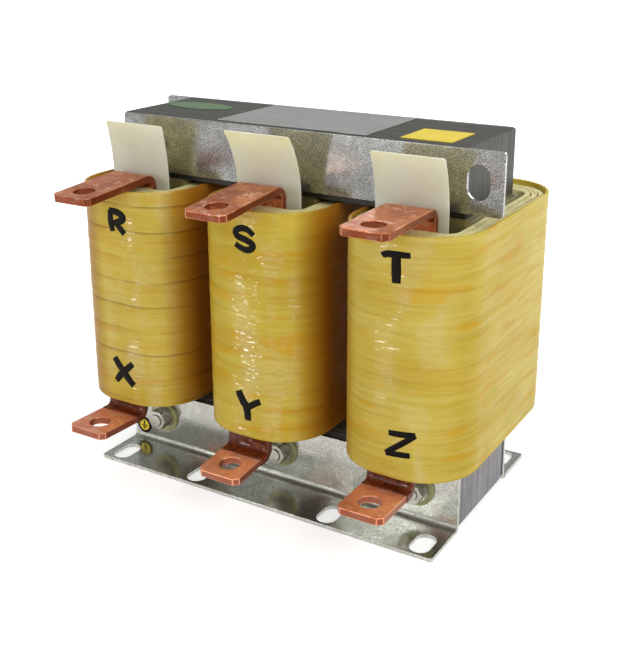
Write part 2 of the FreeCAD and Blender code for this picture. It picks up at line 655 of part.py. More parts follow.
def make_bar(label, x, letter, is_upper):
    """A bar that leaves the coil upright and bends forward to a drilled tongue.

    The path's bend is tangent to the upright leg and to the tilted tongue.
    """
    body = new_body(label, x)
    tilt = f"(tongue_tilt_{letter} * 1 deg)"
    leg = f"(0 - {UPPER_BAR_Y if is_upper else LOWER_BAR_Y})"
    corner = bend_height(letter)
    leg_end = UPPER_BAR_END if is_upper else LOWER_BAR_END
    hole_edge = "upper_hole_edge" if is_upper else "lower_hole_edge"
    tip_y = f"(0 - tongue_reach_{letter} + bar_gauge / 2 * abs(sin({tilt})))"
    tip_z = f"({corner} + ({leg} - {tip_y}) * tan({tilt}))"
    bend_side = "0 - 1" if is_upper else "1"
    bend_y = f"({leg} - bar_bend)"
    bend_z = f"({corner} + bar_bend * tan({tilt}) + ({bend_side}) * bar_bend / cos({tilt}))"
    lean = number(f"tongue_tilt_{letter}")

    path = sketch_in(body, "YZ_Plane")
    turn = (0, 90 - lean) if is_upper else (270 - lean, 360)
    arc = draw_arc(path, bend_y, bend_z, "bar_bend", *turn)
    leg_point, tongue_point = (1, 2) if is_upper else (2, 1)
    upright = path.addGeometry(Part.LineSegment(spot(leg, leg_end), path.getPoint(arc, leg_point)))
    tongue = path.addGeometry(Part.LineSegment(path.getPoint(arc, tongue_point), spot(tip_y, tip_z)))
    path.addConstraint(Sketcher.Constraint("Tangent", upright, 2, arc, leg_point))
    path.addConstraint(Sketcher.Constraint("Tangent", tongue, 1, arc, tongue_point))
    path.addConstraint(Sketcher.Constraint("Vertical", upright))
    hold(path, upright, 1, leg, leg_end)
    hold(path, tongue, 2, tip_y, tip_z)
    hold_radius(path, arc, "bar_bend")
    rule = Sketcher.Constraint("DistanceY", -1, 1, arc, 3, number(bend_z))
    bind(path, f"Constraints[{path.addConstraint(rule)}]", bend_z)

    section = sketch_in(body, "XY_Plane", leg_end)
    draw_rectangle(section, "0 - bar_width / 2", "bar_width / 2",
                   f"{leg} - bar_gauge / 2", f"{leg} + bar_gauge / 2")
    bar = body.newObject("PartDesign::AdditivePipe", "Bar")
    bar.Profile = section
    bar.Spine = path
    doc.recompute()

    tip = number(tip_y)
    names = []
    for place, edge in enumerate(bar.Shape.Edges, start=1):
        middle = edge.CenterOfMass
        at_side = near(abs(middle.x), number("bar_width / 2"))
        if at_side and near(edge.Length, number("bar_gauge")) and abs(middle.y - tip) < 0.01:
            names.append(f"Edge{place}")
    corners = body.newObject("PartDesign::Chamfer", "Corners")
    corners.Base = (bar, names)
    bind(corners, "Size", "bar_chamfer")

    hole = sketch_in(body, "XY_Plane", tip_z)
    hole.AttachmentOffset = FreeCAD.Placement(FreeCAD.Vector(0, 0, 0),
                                              FreeCAD.Rotation(FreeCAD.Vector(1, 0, 0), 1))
    bind(hole, ".AttachmentOffset.Base.y", tip_y)
    bind(hole, ".AttachmentOffset.Base.z", tip_z)
    bind(hole, ".AttachmentOffset.Rotation.Angle", f"0 deg - {tilt}")
    draw_circle(hole, "0", hole_edge, "bar_hole / 2")
    cut(body, hole, "4 * bar_gauge")


def make_flag(phase, x):
    """A stiff insulating sheet behind the upper bar that curls forward at its top."""
    body = new_body(f"flag_{phase}", f"{x} + flag_shift_{phase}")
    curl = f"flag_curl_{phase}"
    curl_start = f"({bend_height(phase)} - bar_bend + flag_curl_room)"
    bottom = f"({LIMB_TOP} - flag_depth)"
    rise = f"({LIMB_TOP} + flag_rise_{phase} - {curl_start})"
    radius = f"(({rise} * {rise} + {curl} * {curl}) / (2 * {curl}))"
    back = f"(0 - {FLAG_Y} + flag_gauge)"
    front = f"(0 - {FLAG_Y})"
    sweep = f"asin({rise} / {radius})"
    profile = sketch_in(body, "YZ_Plane")
    degrees = number(sweep)
    centre_y = f"({back} - {radius})"
    outer = draw_arc(profile, centre_y, curl_start, radius, 0, degrees)
    inner = draw_arc(profile, centre_y, curl_start, f"({radius} - flag_gauge)", 0, degrees)
    back_line = profile.addGeometry(Part.LineSegment(spot(back, bottom), profile.getPoint(outer, 1)))
    front_line = profile.addGeometry(Part.LineSegment(spot(front, bottom), profile.getPoint(inner, 1)))
    foot = profile.addGeometry(Part.LineSegment(spot(back, bottom), spot(front, bottom)))
    top = profile.addGeometry(Part.LineSegment(profile.getPoint(outer, 2), profile.getPoint(inner, 2)))
    profile.addConstraint(Sketcher.Constraint("Tangent", back_line, 2, outer, 1))
    profile.addConstraint(Sketcher.Constraint("Tangent", front_line, 2, inner, 1))
    profile.addConstraint(Sketcher.Constraint("Coincident", foot, 1, back_line, 1))
    profile.addConstraint(Sketcher.Constraint("Coincident", foot, 2, front_line, 1))
    profile.addConstraint(Sketcher.Constraint("Coincident", outer, 2, top, 1))
    profile.addConstraint(Sketcher.Constraint("Coincident", inner, 2, top, 2))
    hold(profile, back_line, 1, back, bottom)
    hold(profile, front_line, 1, front, bottom)
    for arc, size in ((outer, radius), (inner, f"({radius} - flag_gauge)")):
        hold(profile, arc, 3, centre_y, curl_start)
        hold(profile, arc, 2, f"{centre_y} + {size} * cos({sweep})",
             f"{curl_start} + {size} * sin({sweep})")
    sheet_part = pad(body, profile, "flag_width", both_ways=True)
    low = number(f"{LIMB_TOP} + flag_rise_{phase}") - 1

    def is_upper_corner(line):
        return line.CenterOfMass.z > low and near(line.Length, number("flag_gauge"))

    round_edges(body, sheet_part, is_upper_corner, "flag_corner")


# Plates and labels


def make_rating_plate():
    body = new_body("rating_plate")
    outline = sketch_in(body, "XY_Plane", UPPER_YOKE_TOP)
    draw_rectangle(outline, "plate_sign_shift - plate_sign_length / 2",
                   "plate_sign_shift + plate_sign_length / 2",
                   "plate_sign_margin - core_depth / 2", "core_depth / 2 - plate_sign_margin")
    pad(body, outline, "plate_sign_gauge")


def make_square_label():
    body = new_body("square_label")
    outline = sketch_in(body, "XY_Plane", UPPER_YOKE_TOP)
    middle = f"({UPPER_YOKE_END} - square_end)"
    draw_rectangle(outline, f"{middle} - square_side / 2", f"{middle} + square_side / 2",
                   "0 - square_forward - square_side / 2", "square_side / 2 - square_forward")
    pad(body, outline, "label_gauge")


def make_oval_label():
    outline = doc.addObject("Part::Ellipse", "OvalOutline")
    bind(outline, "MajorRadius", "oval_half_length")
    bind(outline, "MinorRadius", "oval_half_depth")
    label = doc.addObject("Part::Extrusion", "oval_label")
    label.Label = "oval_label"
    label.Base = outline
    label.Solid = True
    label.DirMode = "Custom"
    label.Dir = FreeCAD.Vector(0, 0, 1)
    bind(label, "LengthFwd", "label_gauge")
    bind(label, ".Placement.Base.x", f"oval_end - {UPPER_YOKE_END}")
    bind(label, ".Placement.Base.y", f"oval_back + {TO_ORIGIN}")
    bind(label, ".Placement.Base.z", UPPER_YOKE_TOP)
    pieces.append(label)


def make_earth_label():
    body = new_body("earth_label")
    outline = sketch_in(body, "XZ_Plane", SHEET_OUTER)
    rise = "sheet_gauge + bend_inner + earth_disc_rise + earth_disc_diameter / 2"
    draw_circle(outline, f"earth_disc_end - {ANGLE_END}", rise, "earth_disc_diameter / 2")
    pad(body, outline, "label_gauge")


make_yoke("lower_yoke", LOWER_YOKE_END, "core_lift", LOWER_BOLT_HEIGHT)
make_yoke("upper_yoke", UPPER_YOKE_END, LIMB_TOP, UPPER_BOLT_HEIGHT)
make_gap_pads()
make_lower_angle("lower_bracket_front", FRONT)
make_lower_angle("lower_bracket_back", BACK)
make_upper_plate("upper_bracket_front", FRONT)
make_upper_plate("upper_bracket_back", BACK)
make_strips("insulation_strips_lower", LOWER_YOKE_END, "(sheet_gauge + bend_inner)",
            f"{LOWER_YOKE_TOP} - strip_inset", LOWER_BOLT_HEIGHT)
make_strips("insulation_strips_upper", UPPER_YOKE_END, f"{LIMB_TOP} + strip_inset",
            f"{UPPER_YOKE_TOP} - strip_inset", UPPER_BOLT_HEIGHT)
make_washers("insulating_washers", SHEET_OUTER, "insulating_washer_gauge",
             "insulating_washer_diameter")
make_washers("flat_washers", FLAT_WASHER_SEAT, "flat_washer_gauge", "flat_washer_diameter")
make_nuts()
make_bolts()
make_sleeves()
for phase, x in COILS.items():
    make_limb(phase, x)
    make_former(phase, x)
    make_layers(f"winding_paper_{phase}", x, PAPER_BANDS, "0")
    make_layers(f"winding_foil_{phase}", x, FOIL_BANDS, "foil_inset")
    make_shell(phase, x)
    make_packing(phase, x)
    make_sticks(phase, x)
    make_flag(phase, x)
    make_bar(f"terminal_{phase}", x, phase, is_upper=True)
    make_bar(f"terminal_{LOWER_LETTER[phase]}", x, LOWER_LETTER[phase], is_upper=False)
make_rating_plate()
make_square_label()
make_oval_label()
make_earth_label()
doc.recompute()

# Every object must have computed, and every piece must be a sound solid, before anything is written
for item in doc.Objects:
    if "Invalid" in item.State or "Error" in item.State:
        raise RuntimeError(f"{item.Label} did not compute: {item.State}")
for piece in pieces:
    if piece.Shape.isNull() or not piece.Shape.isValid() or not piece.Shape.Solids:
        raise RuntimeError(f"{piece.Label} has no sound solid")

os.makedirs("parts", exist_ok=True)
for piece in pieces:
    piece.Shape.exportStep(f"parts/{piece.Label}.step")
    box = piece.Shape.BoundBox
    print(f"{piece.Label:26s} solids {len(piece.Shape.Solids):2d} volume {piece.Shape.Volume / 1000:9.2f} cm3"
          f" x {box.XMin:8.2f} {box.XMax:8.2f} y {box.YMin:8.2f} {box.YMax:8.2f}"
          f" z {box.ZMin:7.2f} {box.ZMax:7.2f}")
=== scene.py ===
import math

import bmesh
import bpy
from mathutils import Matrix, Vector, noise
from mathutils.bvhtree import BVHTree


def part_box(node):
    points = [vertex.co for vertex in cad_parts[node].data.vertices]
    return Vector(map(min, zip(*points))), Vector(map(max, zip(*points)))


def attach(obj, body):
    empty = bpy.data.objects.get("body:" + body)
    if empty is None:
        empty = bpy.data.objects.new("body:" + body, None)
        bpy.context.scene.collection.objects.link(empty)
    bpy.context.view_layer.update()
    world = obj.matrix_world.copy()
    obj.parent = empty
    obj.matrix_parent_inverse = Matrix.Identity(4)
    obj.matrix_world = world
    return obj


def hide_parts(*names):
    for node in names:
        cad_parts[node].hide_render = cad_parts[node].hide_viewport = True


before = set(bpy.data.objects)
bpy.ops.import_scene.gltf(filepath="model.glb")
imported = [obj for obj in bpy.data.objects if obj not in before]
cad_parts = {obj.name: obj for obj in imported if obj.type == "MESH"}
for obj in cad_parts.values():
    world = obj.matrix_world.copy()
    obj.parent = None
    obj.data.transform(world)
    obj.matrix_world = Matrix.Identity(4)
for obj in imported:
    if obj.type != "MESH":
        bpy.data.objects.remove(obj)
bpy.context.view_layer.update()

MM = 0.001
PHASES = ("r", "s", "t")
LOWER_LETTER = {"r": "x", "s": "y", "t": "z"}
CORE_MIDDLE = (0, 18.5 * MM, 0)


# Finishes

# Sockets of the node that mixes two colours
MIX_SHARE, MIX_FIRST, MIX_SECOND, MIX_RESULT = 0, 6, 7, 2


def paint(red, green, blue):
    """A colour given as it shows on a screen, 0 to 255, as the shader's linear values."""
    shown = [value / 255 for value in (red, green, blue)]
    linear = [value / 12.92 if value <= 0.04045 else ((value + 0.055) / 1.055) ** 2.4
              for value in shown]
    return (*linear, 1.0)


class Finish:
    """A surface finish: one shader and the patterns that feed it."""

    def __init__(self, name, **sockets):
        self.material = bpy.data.materials.new(name)
        self.material.use_nodes = True
        self.tree = self.material.node_tree
        self.shader = self.tree.nodes["Principled BSDF"]
        for socket, value in sockets.items():
            self.shader.inputs[socket.replace("_", " ")].default_value = value

    def add(self, kind, inputs, **settings):
        """A node whose inputs are given as numbers, colours or other nodes' outputs."""
        made = self.tree.nodes.new(kind)
        for key, value in settings.items():
            setattr(made, key, value)
        for socket, value in inputs.items():
            if isinstance(value, bpy.types.NodeSocket):
                self.tree.links.new(value, made.inputs[socket])
            else:
                made.inputs[socket].default_value = value
        return made

    def wire(self, socket, value):
        """Feeds one of the shader's inputs."""
        self.tree.links.new(value, self.shader.inputs[socket])

    def place(self, stretch=(1, 1, 1), start=(0, 0, 0)):
        """The object's own coordinates, measured from start and stretched."""
        own = self.add("ShaderNodeTexCoord", {}).outputs["Object"]
        moved = self.add("ShaderNodeVectorMath", {0: own, 1: start}, operation="SUBTRACT")
        return self.add("ShaderNodeVectorMath", {0: moved.outputs[0], 1: stretch},
                        operation="MULTIPLY").outputs[0]

    def parts(self, vector):
        """The x, y and z of a vector."""
        return self.add("ShaderNodeSeparateXYZ", {0: vector}).outputs[:]

    def attribute(self, name):
        """A value that the mesh holds for each of its faces."""
        return self.add("ShaderNodeAttribute", {}, attribute_name=name).outputs["Fac"]

    def grain(self, where, scale, detail=3.0, rough=0.5):
        """A soft uneven pattern, about 0.3 to 0.7."""
        made = self.add("ShaderNodeTexNoise", {"Vector": where, "Scale": scale, "Detail": detail,
                                               "Roughness": rough})
        return made.outputs["Fac"]

    def flakes(self, where, scale):
        """A random value for each crystal of the surface."""
        made = self.add("ShaderNodeTexVoronoi", {"Vector": where, "Scale": scale})
        return self.parts(made.outputs["Color"])[0]

    def span(self, value, low, high, to_low=0.0, to_high=1.0):
        """Maps the range from low to high onto to_low to to_high, and no further."""
        return self.add("ShaderNodeMapRange", {"Value": value, "From Min": low, "From Max": high,
                                               "To Min": to_low, "To Max": to_high}).outputs[0]

    def work(self, operation, first, second=0.0):
        """Arithmetic on one or two values."""
        return self.add("ShaderNodeMath", {0: first, 1: second}, operation=operation).outputs[0]

    def times(self, first, second):
        return self.work("MULTIPLY", first, second)

    def plus(self, first, second):
        return self.work("ADD", first, second)

    def blend(self, share, first, second):
        """The first colour, with a share of the second over it."""
        made = self.add("ShaderNodeMix", {MIX_SHARE: share, MIX_FIRST: first, MIX_SECOND: second},
                        data_type="RGBA")
        return made.outputs[MIX_RESULT]

    def tint(self, tone, pattern, low, high, share, colour):
        """Lays a colour over a tone, up to a share where a pattern is high."""
        return self.blend(self.span(pattern, low, high, 0.0, share), tone, colour)

    def relief(self, height, depth, strength=1.0):
        """Raises the surface by a height pattern, over any relief it already has."""
        inputs = {"Height": height, "Distance": depth, "Strength": strength}
        old = self.shader.inputs["Normal"]
        if old.is_linked:
            inputs["Normal"] = old.links[0].from_socket
        self.wire("Normal", self.add("ShaderNodeBump", inputs).outputs[0])


YOKE_END = 121 * MM


def make_core_steel(name, dark, light, ends=0.0):
    """Varnished laminations: fine sheet edges along the yoke, with darker cut ends."""
    finish = Finish(name, Metallic=0.1, Specular_IOR_Level=0.3, Coat_Weight=0.05,
                    Coat_Roughness=0.3)
    sheets = finish.grain(finish.place((5, 900, 5)), 1.0, 2.0)
    streaks = finish.grain(finish.place((25, 260, 25)), 1.0, 4.0, 0.7)
    clouds = finish.grain(finish.place(), 22.0, 3.0)
    tone = finish.blend(finish.span(sheets, 0.3, 0.7), dark, light)
    tone = finish.tint(tone, streaks, 0.5, 0.75, 0.5, paint(100, 98, 88))
    tone = finish.tint(tone, clouds, 0.4, 0.7, 0.4, paint(44, 46, 34))
    outward = finish.work("ABSOLUTE", finish.parts(finish.place())[0])
    tone = finish.tint(tone, outward, YOKE_END - 0.6 * MM, YOKE_END - 0.1 * MM, ends,
                       paint(20, 20, 14))
    finish.wire("Base Color", tone)
    finish.wire("Roughness", finish.span(streaks, 0.3, 0.7, 0.34, 0.55))
    finish.relief(sheets, 0.5 * MM, 0.7)
    return finish.material


FOLD_START = (38.1 * MM, 38.6 * MM)
FOLD_END = (40.4 * MM, 41.2 * MM)
FOLD_TOP = (5.5 * MM, 6.5 * MM)


def make_galvanised(name, dull, bright, rough):
    """Zinc-coated sheet: small bright and dull crystals over broad clouds, rougher along the fold,
    with painted shade there.
    """
    finish = Finish(name, Metallic=0.95)
    where = finish.place()
    crystals = finish.flakes(where, 900.0)
    speckle = finish.grain(where, 1300.0, 2.0, 0.6)
    broad = finish.flakes(where, 190.0)
    clouds = finish.grain(where, 26.0, 4.0, 0.6)
    stains = finish.grain(where, 75.0, 5.0, 0.7)
    tone = finish.blend(finish.span(speckle, 0.36, 0.64), dull, bright)
    tone = finish.tint(tone, crystals, 0.5, 1.0, 0.55, bright)
    tone = finish.tint(tone, broad, 0.2, 1.0, 0.3, dull)
    tone = finish.tint(tone, clouds, 0.45, 0.7, 0.35, dull)
    tone = finish.tint(tone, stains, 0.68, 0.75, 0.5, paint(92, 88, 72))
    deep, high = finish.parts(finish.place(start=CORE_MIDDLE))[1:]
    outward = finish.work("ABSOLUTE", deep)
    # Painted shade in the fold between flange and foot; the fold is also made rougher
    fold = finish.times(finish.span(outward, *FOLD_START),
                        finish.span(outward, *FOLD_END, 1.0, 0.0))
    fold = finish.times(fold, finish.span(high, *FOLD_TOP, 1.0, 0.0))
    fold_rough_and_shade = finish.times(fold, 0.3)
    tone = finish.blend(fold_rough_and_shade, tone, paint(108, 106, 92))
    finish.wire("Base Color", tone)
    cloudy = finish.span(clouds, 0.3, 0.7, 0.65 * rough, 1.3 * rough)
    finish.wire("Roughness", finish.plus(fold_rough_and_shade, cloudy))
    finish.relief(speckle, 0.05 * MM, 0.35)
    return finish.material


def make_zinc():
    """Plated bolts, nuts and washers, cloudy and finely marked."""
    finish = Finish("zinc_plating", Metallic=0.95)
    where = finish.place()
    marks = finish.grain(where, 420.0, 4.0, 0.65)
    clouds = finish.grain(where, 90.0, 3.0)
    tone = finish.blend(finish.span(clouds, 0.35, 0.7), paint(196, 193, 184), paint(150, 146, 132))
    finish.wire("Base Color", tone)
    finish.wire("Roughness", finish.span(marks, 0.3, 0.7, 0.18, 0.4))
    finish.relief(marks, 0.1 * MM, 0.4)
    return finish.material


def make_glass_epoxy(name, light, dark, see_through):
    """Varnished glass laminate with its woven cloth just showing."""
    finish = Finish(name, Roughness=0.3, Coat_Weight=0.3, Coat_Roughness=0.15,
                    Subsurface_Weight=see_through, Subsurface_Scale=MM,
                    Subsurface_Radius=(1.0, 1.0, 0.5))
    where = finish.place()
    cloth = finish.grain(where, 700.0, 2.0)
    clouds = finish.grain(where, 60.0, 4.0, 0.6)
    tone = finish.blend(finish.span(clouds, 0.35, 0.68), light, dark)
    tone = finish.tint(tone, cloth, 0.4, 0.7, 0.35, dark)
    finish.wire("Base Color", tone)
    finish.relief(cloth, 0.1 * MM, 0.4)
    return finish.material


def make_black_board():
    """Dark fibre board of the strips between core and sheet."""
    finish = Finish("dark_board")
    fibres = finish.grain(finish.place(), 500.0, 4.0, 0.65)
    tone = finish.blend(finish.span(fibres, 0.35, 0.7), paint(24, 23, 21), paint(56, 53, 46))
    finish.wire("Base Color", tone)
    finish.wire("Roughness", finish.span(fibres, 0.3, 0.7, 0.4, 0.62))
    finish.relief(fibres, 0.2 * MM, 0.5)
    return finish.material


def make_sheet_edges(name, pale, shaded, varnish):
    """Edges of stacked insulating sheets, soaked with varnish here and there."""
    finish = Finish(name, Coat_Weight=0.25, Coat_Roughness=0.25)
    fibres = finish.grain(finish.place((1, 1, 0.35)), 1100.0, 3.0, 0.6)
    soak = finish.grain(finish.place(), 70.0, 4.0, 0.65)
    tone = finish.blend(finish.span(fibres, 0.35, 0.68), pale, shaded)
    tone = finish.tint(tone, soak, 0.48, 0.72, 0.7, varnish)
    finish.wire("Base Color", tone)
    finish.wire("Roughness", finish.span(soak, 0.3, 0.7, 0.5, 0.25))
    finish.relief(fibres, 0.2 * MM, 0.5)
    return finish.material


def make_foil():
    """Edges of the foil layers between the paper rings."""
    finish = Finish("foil_edges", Metallic=0.7, Roughness=0.38)
    edges = finish.grain(finish.place(), 800.0, 3.0)
    tone = finish.blend(finish.span(edges, 0.4, 0.65), paint(96, 92, 70), paint(168, 164, 140))
    finish.wire("Base Color", tone)
    finish.relief(edges, 0.3 * MM, 0.6)
    return finish.material


WRAP_EDGE = 0.55 * MM
WRAP_BOW = 5 * MM
# Across from the coil's middle, where the painted shade of the right flank begins and where it is
# full
RIGHT_SHADE = (30 * MM, 41 * MM)
COATED_FROM = (-14 * MM, 0)


def make_tape(phase, middle, pitch, looks):
    """Varnish-soaked glass tape: golden, with amber pools, long fibres, the wraps' edges and a
    painted brown shade towards its left and right.
    """
    finish = Finish(f"varnished_tape_{phase}", Specular_IOR_Level=0.1, Coat_Roughness=0.08,
                    Coat_IOR=1.7)
    start = looks["start"]
    fibres = finish.grain(finish.place((60, 60, 1500), start), 1.0, 3.0, 0.6)
    streaks = finish.grain(finish.place((14, 14, 330), start), 1.0, 3.0, 0.6)
    patches = finish.grain(finish.place((30, 30, 150), start), 1.0, 1.0, 0.4)
    pools = finish.grain(finish.place((9, 9, 50), start), 1.0, 3.0, 0.55)
    breaks = finish.grain(finish.place((20, 20, 75), start), 1.0, 3.0)
    clouds = finish.grain(finish.place(start=start), 17.0, 3.0, 0.55)

    # Each wrap climbs by one pitch a turn
    across, deep, high = finish.parts(finish.place(start=middle))
    around = finish.work("ARCTAN2", across, finish.times(deep, -1.0))
    bowed = finish.plus(high, finish.times(clouds, WRAP_BOW))
    turns = finish.plus(finish.work("DIVIDE", bowed, pitch),
                        finish.work("DIVIDE", around, 2 * math.pi))
    inside = finish.work("FRACT", turns)
    thin = WRAP_EDGE / pitch
    edge = finish.work("MAXIMUM", finish.span(inside, 0.0, thin, 1.0, 0.0),
                       finish.span(inside, 1.0 - 3 * thin, 1.0, 0.0, 0.45))
    edge = finish.times(edge, finish.span(breaks, 0.45, 0.6, 0.0, looks["edge"]))
    # A faint strand follows the edge, about a third of a pitch behind it
    wavy = finish.plus(0.33, finish.times(streaks, 0.12))
    second = finish.work("FRACT", finish.plus(turns, wavy))
    strand = finish.times(finish.span(second, 0.0, thin, 1.0, 0.0),
                          finish.span(pools, 0.48, 0.6, 0.0, 0.8 * looks["edge"]))
    run = finish.times(finish.span(inside, 0.55, 1.0),
                       finish.span(patches, 0.42, 0.62, 0.0, looks["run"]))
    # Painted shade: the tape turns brown towards the coil's left and right flanks, by the amounts
    # given for each coil
    left, right = looks["sides"]
    soaked = finish.plus(finish.span(across, *looks["soak"], left, 0.0),
                         finish.span(across, *RIGHT_SHADE, 0.0, right))

    tone = finish.blend(finish.span(clouds, 0.32, 0.68), looks["low"], looks["high"])
    tone = finish.tint(tone, streaks, 0.35, 0.7, 0.4, looks["pale"])
    tone = finish.tint(tone, fibres, 0.4, 0.7, looks["fibre"], paint(146, 112, 16))
    tone = finish.tint(tone, pools, 0.5, 0.68, looks["pool"], paint(188, 144, 14))
    tone = finish.tint(tone, patches, 0.6, 0.66, looks["patch"], paint(200, 150, 12))
    tone = finish.blend(run, tone, paint(180, 122, 6))
    tone = finish.blend(strand, tone, paint(150, 92, 10))
    # The painted brown shade of the flanks
    tone = finish.blend(soaked, tone, paint(150, 84, 2))
    tone = finish.blend(edge, tone, paint(84, 48, 2))
    finish.wire("Base Color", tone)
    finish.wire("Roughness", finish.span(streaks, 0.3, 0.7, 0.5, 0.3))
    finish.relief(streaks, 1.2 * MM, looks["rough"])
    finish.relief(fibres, 0.35 * MM, looks["rough"])
    coat_front(finish, across, deep, looks)
    return finish.material


def coat_front(finish, across, deep, looks):
    """Glossy, pimply varnish on a coil's front, thicker in some places than in others."""
    start = looks["start"]
    pimples = finish.grain(finish.place((0.4, 0.4, 1.2), start), 380.0, 0.0)
    gloss = finish.grain(finish.place((1, 1, 0.4), start), 75.0, 2.0, 0.5)
    bumps = finish.add("ShaderNodeBump", {
        "Height": pimples, "Distance": 2 * MM, "Strength": looks["bumps"],
        "Normal": finish.shader.inputs["Normal"].links[0].from_socket})
    finish.wire("Coat Normal", bumps.outputs[0])
    front = finish.times(finish.span(deep, *looks["coat"], 0.06, 1.0),
                         finish.span(across, *COATED_FROM, 0.05, 1.0))
    finish.wire("Coat Weight", finish.times(front, finish.span(gloss, 0.46, 0.62, 0.12, 1.0)))


def make_copper(name, light, dark):
    """Bare copper bar: brushed, a little tarnished, bright where its edges are scuffed and with a
    painted highlight there; darker on its cut ends, with painted shade on its sideways faces.
    """
    finish = Finish(name, Metallic=0.65, Specular_IOR_Level=0.3)
    brushed = finish.grain(finish.place((1100, 70, 70)), 1.0, 3.0, 0.6)
    tarnish = finish.grain(finish.place(), 60.0, 4.0, 0.65)
    scuffs = finish.grain(finish.place((1, 1, 2)), 190.0, 5.0, 0.7)
    worn_and_lit = finish.attribute("worn_and_lit_edge")
    cut = finish.attribute("cut_and_shaded_face")
    tone = finish.blend(finish.span(tarnish, 0.36, 0.64), light, dark)
    tone = finish.tint(tone, scuffs, 0.54, 0.64, 0.8, paint(252, 202, 168))
    # Darker on the cut ends, and painted shade on the sideways faces
    tone = finish.blend(finish.times(cut, 0.8), tone, paint(120, 54, 32))
    # Rubbed bare copper on the eased edges, partly a painted highlight along them
    bare = finish.times(worn_and_lit, finish.span(tarnish, 0.35, 0.6, 0.32, 0.0))
    tone = finish.blend(bare, tone, paint(236, 172, 134))
    finish.wire("Base Color", tone)
    finish.wire("Roughness", finish.span(scuffs, 0.3, 0.7, 0.42, 0.24))
    finish.relief(brushed, 0.1 * MM, 0.5)
    finish.relief(tarnish, MM, 0.25)
    return finish.material


def make_flag_sheet():
    """Cream insulating sheet that lets some light through."""
    finish = Finish("cream_sheet", Roughness=0.5, Coat_Weight=0.06, Coat_Roughness=0.3,
                    Subsurface_Weight=1.0, Subsurface_Scale=4.6 * MM,
                    Subsurface_Radius=(1.0, 0.95, 0.5))
    where = finish.place()
    fibres = finish.grain(finish.place((1, 1, 0.25)), 900.0, 3.0, 0.6)
    clouds = finish.grain(where, 28.0, 4.0, 0.55)
    specks = finish.grain(where, 260.0, 2.0, 0.5)
    tone = finish.blend(finish.span(clouds, 0.35, 0.7), paint(213, 209, 190), paint(201, 196, 172))
    tone = finish.tint(tone, fibres, 0.4, 0.7, 0.25, paint(196, 192, 154))
    tone = finish.tint(tone, specks, 0.73, 0.76, 0.6, paint(140, 130, 100))
    finish.wire("Base Color", tone)
    finish.relief(fibres, 0.1 * MM, 0.5)
    finish.relief(clouds, 2 * MM, 0.2)
    return finish.material


def make_plate_metal():
    """Brushed sheet of the blank plate."""
    finish = Finish("plain_plate", Metallic=0.45)
    brushed = finish.grain(finish.place((60, 1600, 60)), 1.0, 3.0, 0.6)
    clouds = finish.grain(finish.place(), 34.0, 4.0, 0.6)
    tone = finish.blend(finish.span(clouds, 0.35, 0.7), paint(162, 163, 160), paint(148, 150, 146))
    tone = finish.tint(tone, brushed, 0.35, 0.7, 0.3, paint(132, 134, 131))
    finish.wire("Base Color", tone)
    finish.wire("Roughness", finish.span(brushed, 0.3, 0.7, 0.36, 0.5))
    finish.relief(brushed, 0.05 * MM, 0.4)
    return finish.material


def make_film(name, colour, faded):
    """Printed label film, a little uneven where it follows the sheet edges below it."""
    finish = Finish(name, Roughness=0.4, Coat_Weight=0.15, Coat_Roughness=0.2)
    ripples = finish.grain(finish.place((8, 700, 8)), 1.0, 2.0)
    clouds = finish.grain(finish.place(), 60.0, 4.0, 0.6)
    tone = finish.tint(colour, clouds, 0.35, 0.7, 0.6, faded)
    finish.wire("Base Color", tone)
    finish.relief(ripples, 0.3 * MM, 0.3)
    return finish.material


def make_brush_paint():
    """Black paint with the brush's hairs in it."""
    finish = Finish("black_brush_paint", Roughness=0.5, Specular_IOR_Level=0.1)
    bristles = finish.grain(finish.place((1, 1, 0.5)), 900.0, 3.0, 0.6)
    tone = finish.blend(finish.span(bristles, 0.4, 0.75), paint(8, 6, 5), paint(30, 20, 15))
    finish.wire("Base Color", tone)
    finish.relief(bristles, 0.4 * MM, 0.6)
    return finish.material


def make_bar_varnish():
    """Thick brown varnish where a lower bar leaves its coil."""
    finish = Finish("brown_varnish", Roughness=0.4, Specular_IOR_Level=0.1, Coat_Weight=0.45,
                    Coat_Roughness=0.06)
    runs = finish.grain(finish.place((1.6, 1.6, 0.5)), 260.0, 4.0, 0.6)
    clouds = finish.grain(finish.place(), 120.0, 3.0)
    tone = finish.blend(finish.span(runs, 0.35, 0.7), paint(66, 24, 7), paint(118, 50, 17))
    tone = finish.tint(tone, clouds, 0.5, 0.7, 0.5, paint(44, 16, 5))
    finish.wire("Base Color", tone)
    finish.relief(runs, 0.8 * MM, 0.6)
    return finish.material


# Shapes

MERGE = 0.01 * MM
FLAT = math.radians(0.5)
SHARP = math.radians(32)
FRONT_DEPTH = 0.5 * MM
SMALL_CUT = 25 * MM * MM
CORNER_SHARE = 0.97
CORNER_CHAMFER = 1.3 * MM


def finish_piece(bm, name, materials, replaced=(), crease=35):
    """Turns a bmesh into a finished piece that rides on the reactor."""
    mesh = bpy.data.meshes.new(name)
    bm.to_mesh(mesh)
    bm.free()
    for material in materials:
        mesh.materials.append(material)
    mesh.polygons.foreach_set("use_smooth", [True] * len(mesh.polygons))
    mesh.set_sharp_from_angle(angle=math.radians(crease))
    piece = bpy.data.objects.new(name, mesh)
    bpy.context.scene.collection.objects.link(piece)
    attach(piece, "root")
    if replaced:
        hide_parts(*replaced)
    return piece


def copy_of(node):
    """A node's own mesh with its loose triangles joined and its flat faces whole."""
    bm = bmesh.new()
    bm.from_mesh(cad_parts[node].data)
    bmesh.ops.remove_doubles(bm, verts=bm.verts, dist=MERGE)
    bmesh.ops.dissolve_limit(bm, angle_limit=FLAT, verts=bm.verts, edges=bm.edges,
                             use_dissolve_boundaries=False)
    return bm


